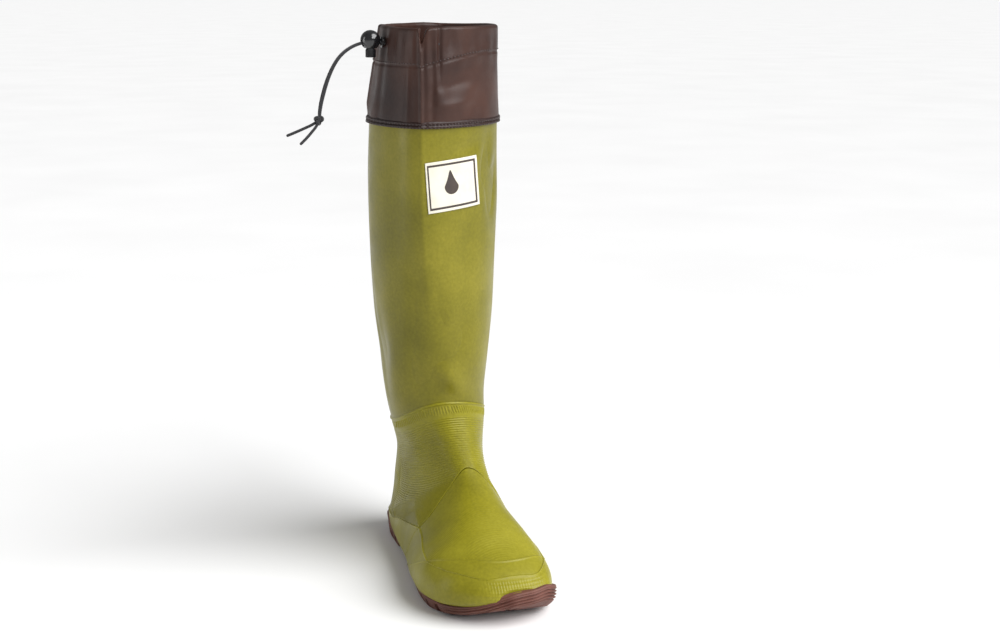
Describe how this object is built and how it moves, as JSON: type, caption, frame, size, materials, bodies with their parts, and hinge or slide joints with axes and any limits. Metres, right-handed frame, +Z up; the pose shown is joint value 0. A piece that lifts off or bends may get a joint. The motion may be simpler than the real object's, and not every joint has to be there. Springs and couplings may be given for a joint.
{
  "type": "rubber rain boot",
  "caption": "Tall olive rubber rain boot with a ribbed ankle, gum sole, brown drawcord cuff with a ball cord lock, and a cream label; ankle flexes, lock slides, button presses",
  "frame": {"origin": "on the ground, at the centre of the boot's footprint box, measured without the free cord and what is on it", "axes": "+Z up the leg, -Y toward the toe, -X toward the outer side of the foot"},
  "size_m": [0.1821, 0.275, 0.45],
  "materials": {
    "gum": "matt reddish-brown gum rubber with moulded lugs",
    "board": "pressed fibre board",
    "cotton": "brushed cotton knit",
    "olive": "smooth olive natural rubber with a soft sheen",
    "olive_ribbed": "fine ribbed olive rubber",
    "cuff_cloth": "coated brown cloth, stitched",
    "label_face": "cream printed rubber patch",
    "label_ink": "dark brown print",
    "eyelet_metal": "black painted eyelet",
    "cord": "black braided cord",
    "lock_gloss": "polished black plastic",
    "lock_matte": "ribbed black plastic",
    "spring_steel": "steel wire, taken as a sleeve"
  },
  "bodies": {
    "foot": {"outsole": "gum", "insole_board": "board", "footbed": "cotton", "foot_lining": "cotton", "vamp": "olive", "toe_cap": "olive", "toe_guard": "olive", "side_foxing_lateral": "olive", "side_foxing_medial": "olive", "heel_foxing": "olive", "ankle_panel": "olive_ribbed", "ankle_lining": "cotton"},
    "leg": {"shaft": "olive", "shaft_lining": "cotton", "cuff": "cuff_cloth", "cuff_binding": "cuff_cloth", "label_patch": "label_face", "label_border": "label_ink", "label_motif": "label_ink", "eyelet": "eyelet_metal", "drawcord_channel": "cord", "drawcord_front": "cord", "drawcord_rear": "cord", "drawcord_knot": "cord", "drawcord_tail_front": "cord", "drawcord_tail_rear": "cord"},
    "cord_lock": {"cord_lock_body": "lock_gloss", "cord_lock_spring": "spring_steel"},
    "cord_plunger": {"cord_lock_plunger": "lock_matte"}
  },
  "joints": [
    {"name": "ankle_flex", "type": "hinge", "parent": "foot", "child": "leg", "pos_m": [0, 0.0595, 0.112], "axis": [1, 0, 0], "range_deg": [-15, 20], "stiffness_Nm_per_rad": 7, "deforming": ["ankle_panel", "ankle_lining"]},
    {"name": "cord_lock_slide", "type": "hinge", "parent": "leg", "child": "cord_lock", "pos_m": [-0.05687, 0.0345, 0.403], "axis": [0, -1, 0], "range_deg": [0, 50]},
    {"name": "plunger_press", "type": "slide", "parent": "cord_lock", "child": "cord_plunger", "axis": [0, 0, 1], "range_m": [0, 0.0025], "stiffness_N_per_m": 400, "deforming": ["cord_lock_spring"]}
  ]
}
